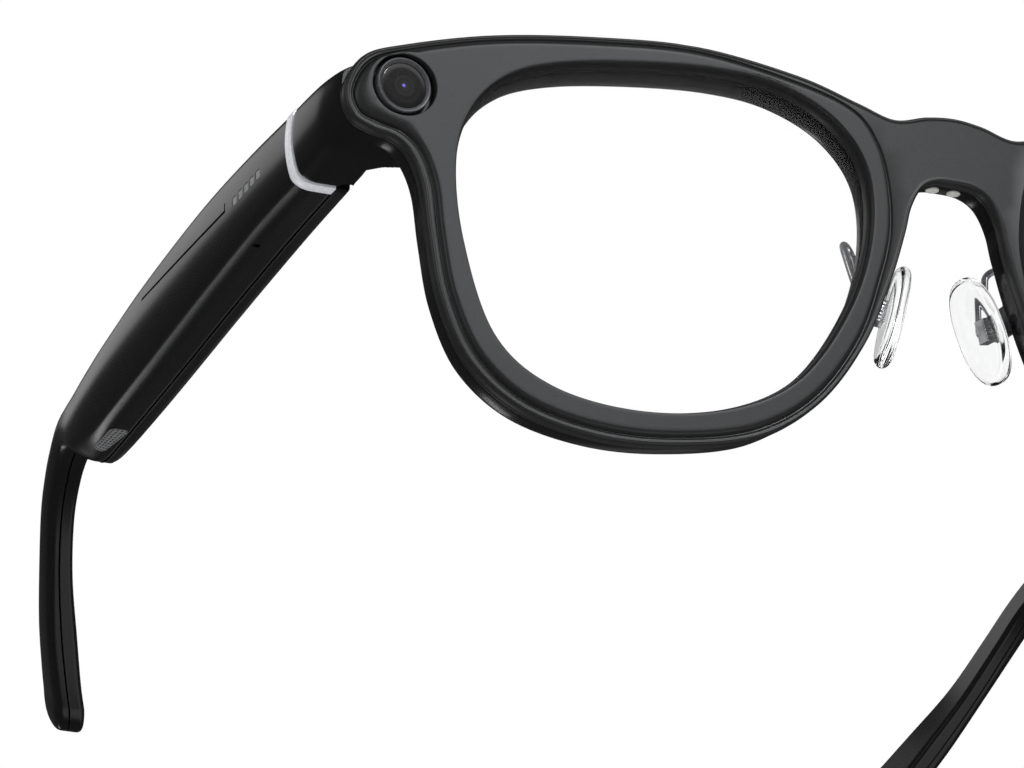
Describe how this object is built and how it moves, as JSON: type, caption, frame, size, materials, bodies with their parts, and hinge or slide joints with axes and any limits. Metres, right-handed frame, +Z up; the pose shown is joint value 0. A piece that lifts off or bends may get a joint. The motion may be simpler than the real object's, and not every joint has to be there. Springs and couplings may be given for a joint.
{
  "type": "smart glasses",
  "caption": "Smart glasses with a corner camera, folding electronics arms, clear lenses and adjustable silicone nose pads.",
  "frame": {"origin": "centre of the footprint on the surface the rims stand on", "axes": "+X to the wearer's left, -Y out of the front towards what is looked at, +Z up"},
  "size_m": [0.1492, 0.15, 0.0485],
  "materials": {
    "satin_shell": "fine satin, dark charcoal",
    "gloss_black": "semi-gloss black",
    "clear_lens": "clear, anti-reflection coated",
    "dark_metal": "dark satin metal",
    "black_glass": "polished black cover glass",
    "black_plastic": "matte black",
    "circuit_board": "solder mask",
    "light_guide": "translucent light guide",
    "contact_metal": "satin plated",
    "bright_wire": "polished",
    "pad_metal": "plain steel",
    "clear_silicone": "clear soft silicone",
    "battery_can": "foil pouch",
    "grille_mesh": "perforated grey metal"
  },
  "bodies": {
    "front": {"front_plate": "satin_shell", "rear_frame": "gloss_black", "lens_right": "clear_lens", "lens_left": "clear_lens", "camera_ring": "dark_metal", "camera_window": "black_glass", "camera_barrel": "black_plastic", "camera_board": "circuit_board", "status_light": "light_guide", "charging_contact_right": "contact_metal", "charging_contact_left": "contact_metal", "contact_board": "circuit_board", "pad_clip_right": "dark_metal", "pad_clip_left": "dark_metal", "pad_arm_right": "bright_wire", "pad_arm_left": "bright_wire", "hinge_frame_right": "dark_metal", "hinge_frame_left": "dark_metal", "hinge_screw_right": "pad_metal", "hinge_screw_left": "pad_metal"},
    "right_arm": {"hinge_arm_right": "dark_metal", "trim_ring_right": "bright_wire", "arm_shell_right": "gloss_black", "arm_cover_right": "gloss_black", "tip_core_right": "pad_metal", "arm_board_right": "circuit_board", "battery_right": "battery_can", "speaker_right": "black_plastic", "microphone_right": "pad_metal", "speaker_grille_right": "grille_mesh", "light_bars": "light_guide", "touch_strip": "dark_metal"},
    "left_arm": {"hinge_arm_left": "dark_metal", "trim_ring_left": "bright_wire", "arm_shell_left": "gloss_black", "arm_cover_left": "gloss_black", "tip_core_left": "pad_metal", "arm_board_left": "circuit_board", "battery_left": "battery_can", "speaker_left": "black_plastic", "microphone_left": "pad_metal", "speaker_grille_left": "grille_mesh"},
    "right_pad": {"pad_mount_right": "pad_metal", "nose_pad_right": "clear_silicone"},
    "left_pad": {"pad_mount_left": "pad_metal", "nose_pad_left": "clear_silicone"},
    "button": {"capture_button": "satin_shell"}
  },
  "joints": [
    {"name": "right_arm_fold", "type": "hinge", "parent": "front", "child": "right_arm", "pos_m": [-0.0676, -0.0579, 0.03595], "axis": [0, 0, -1], "range_deg": [0, 90]},
    {"name": "left_arm_fold", "type": "hinge", "parent": "front", "child": "left_arm", "pos_m": [0.0676, -0.0579, 0.03595], "axis": [0, 0, 1], "range_deg": [0, 80]},
    {"name": "right_pad_rock", "type": "hinge", "parent": "front", "child": "right_pad", "pos_m": [-0.00749, -0.06881, 0.02205], "axis": [0.2017, 0.9781, -0.0503], "range_deg": [-5, 5]},
    {"name": "left_pad_rock", "type": "hinge", "parent": "front", "child": "left_pad", "pos_m": [0.00749, -0.06881, 0.02205], "axis": [-0.2017, 0.9781, -0.0503], "range_deg": [-5, 5]},
    {"name": "capture_press", "type": "slide", "parent": "right_arm", "child": "button", "axis": [0, 0, -1], "range_m": [0, 0.0004], "stiffness_N_per_m": 900}
  ]
}
